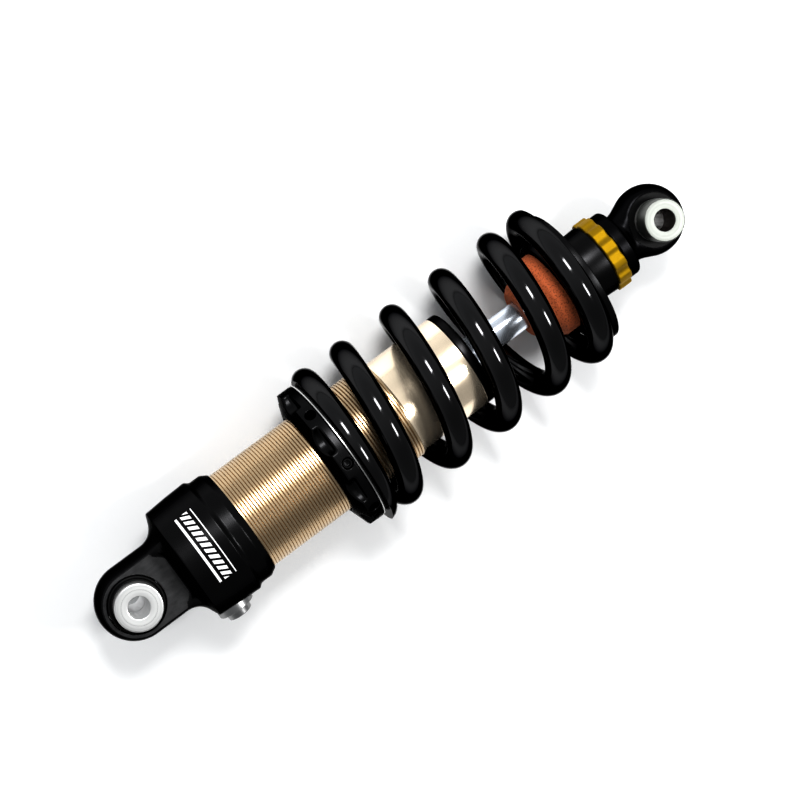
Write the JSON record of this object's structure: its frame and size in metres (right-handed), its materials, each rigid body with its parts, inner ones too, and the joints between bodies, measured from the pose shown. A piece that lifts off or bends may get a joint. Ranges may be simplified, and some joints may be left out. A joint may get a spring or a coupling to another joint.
{
  "type": "rear shock absorber",
  "caption": "Coil-over rear shock absorber: gas damper in a threaded tube, preload ring, black coil spring, bump stop, and an eye with a sleeve at each end.",
  "frame": {"origin": "centre of the body-end eye, on the axis of its bolt", "axes": "+X along the damper towards the rod-end eye, +Z along both eye bolts, -Y towards the gas filling plug"},
  "size_m": [0.3298, 0.0793, 0.0792],
  "materials": {
    "black_anodised": "satin black hard anodising on turned aluminium",
    "champagne_anodised": "pale gold hard anodising, bright on the thread crests",
    "gold_anodised": "bright gold anodising",
    "bare_aluminium": "turned aluminium with fine tool marks",
    "chrome_rod": "polished hard chrome",
    "gloss_black_spring": "gloss black powder coat",
    "bright_steel": "ground or polished steel",
    "foam": "orange-brown microcellular foam",
    "black_rubber": "matt black seal rubber",
    "bearing_bronze": "bronze-backed dry bearing liner"
  },
  "bodies": {
    "damper_body": {"body_cap": "black_anodised", "damper_tube": "champagne_anodised", "gas_plug": "bare_aluminium", "gas_plug_o_ring": "black_rubber", "tube_o_ring": "black_rubber", "body_eye_bush": "bearing_bronze", "body_eye_seal_top": "black_rubber", "body_eye_seal_bottom": "black_rubber", "seal_head": "black_anodised", "seal_head_o_ring": "black_rubber", "rod_bush": "bearing_bronze", "rod_seal": "black_rubber", "rod_wiper": "black_rubber"},
    "body_eye_sleeve": {"body_eye_sleeve_top": "bare_aluminium", "body_eye_sleeve_bottom": "bare_aluminium"},
    "floating_piston": {"floating_piston": "bare_aluminium", "floating_piston_seal": "black_rubber"},
    "spring_perch": {"thrust_washer": "bright_steel", "spring": "gloss_black_spring"},
    "preload_ring": {"preload_ring": "black_anodised", "preload_lock_screw": "bright_steel"},
    "rod_assembly": {"rod": "chrome_rod", "main_piston": "bare_aluminium", "piston_band": "bearing_bronze", "compression_shims": "bright_steel", "rebound_shims": "bright_steel", "piston_nut": "bright_steel", "top_out_bumper": "black_rubber", "bump_stop": "foam", "spring_seat": "black_anodised", "seat_retainer": "black_anodised", "rod_end": "black_anodised", "rod_end_race": "bright_steel", "rod_end_seal_top": "black_rubber", "rod_end_seal_bottom": "black_rubber", "detent_spring": "bright_steel", "detent_ball": "bright_steel"},
    "adjuster_ring": {"rebound_adjuster_ring": "gold_anodised"},
    "rebound_needle": {"rebound_needle": "bare_aluminium", "adjuster_pin": "bright_steel"},
    "rod_eye_ball": {"rod_end_ball": "bright_steel"},
    "rod_eye_spacers": {"rod_end_spacer_top": "bright_steel", "rod_end_spacer_bottom": "bright_steel"}
  },
  "joints": [
    {"name": "damper_stroke", "type": "slide", "parent": "damper_body", "child": "rod_assembly", "axis": [1, 0, 0], "range_m": [-0.045, 0], "stiffness_N_per_m": 140000, "deforming": ["spring", "bump_stop"]},
    {"name": "floating_piston_slide", "type": "slide", "parent": "damper_body", "child": "floating_piston", "axis": [1, 0, 0], "range_m": [-0.0046, 0]},
    {"name": "preload_travel", "type": "slide", "parent": "damper_body", "child": "spring_perch", "axis": [1, 0, 0], "range_m": [-0.004, 0], "deforming": ["spring"]},
    {"name": "preload_ring_turn", "type": "hinge", "parent": "spring_perch", "child": "preload_ring", "pos_m": [0.109, 0, 0], "axis": [1, 0, 0], "range_deg": [-960, 0]},
    {"name": "rebound_adjuster_turn", "type": "hinge", "parent": "rod_assembly", "child": "adjuster_ring", "pos_m": [0.2676, 0, 0], "axis": [1, 0, 0], "range_deg": [-270, 270]},
    {"name": "rebound_needle_slide", "type": "slide", "parent": "rod_assembly", "child": "rebound_needle", "axis": [1, 0, 0], "range_m": [-0.00135, 0.00135]},
    {"name": "body_eye_turn", "type": "hinge", "parent": "damper_body", "child": "body_eye_sleeve", "pos_m": [0, 0, 0], "axis": [0, 0, 1], "continuous": true},
    {"name": "rod_eye_tilt", "type": "hinge", "parent": "rod_assembly", "child": "rod_eye_ball", "pos_m": [0.295, 0, 0], "axis": [1, 0, 0], "range_deg": [-5, 5]},
    {"name": "rod_eye_turn", "type": "hinge", "parent": "rod_eye_ball", "child": "rod_eye_spacers", "pos_m": [0.295, 0, 0], "axis": [0, 0, 1], "continuous": true}
  ],
  "couplings": [
    {"joint": "floating_piston_slide", "follows": "damper_stroke", "ratio": 0.10124},
    {"joint": "preload_ring_turn", "follows": "preload_travel", "rad_per_m": 4188.8},
    {"joint": "rebound_needle_slide", "follows": "rebound_adjuster_turn", "m_per_rad": 0.000286}
  ]
}
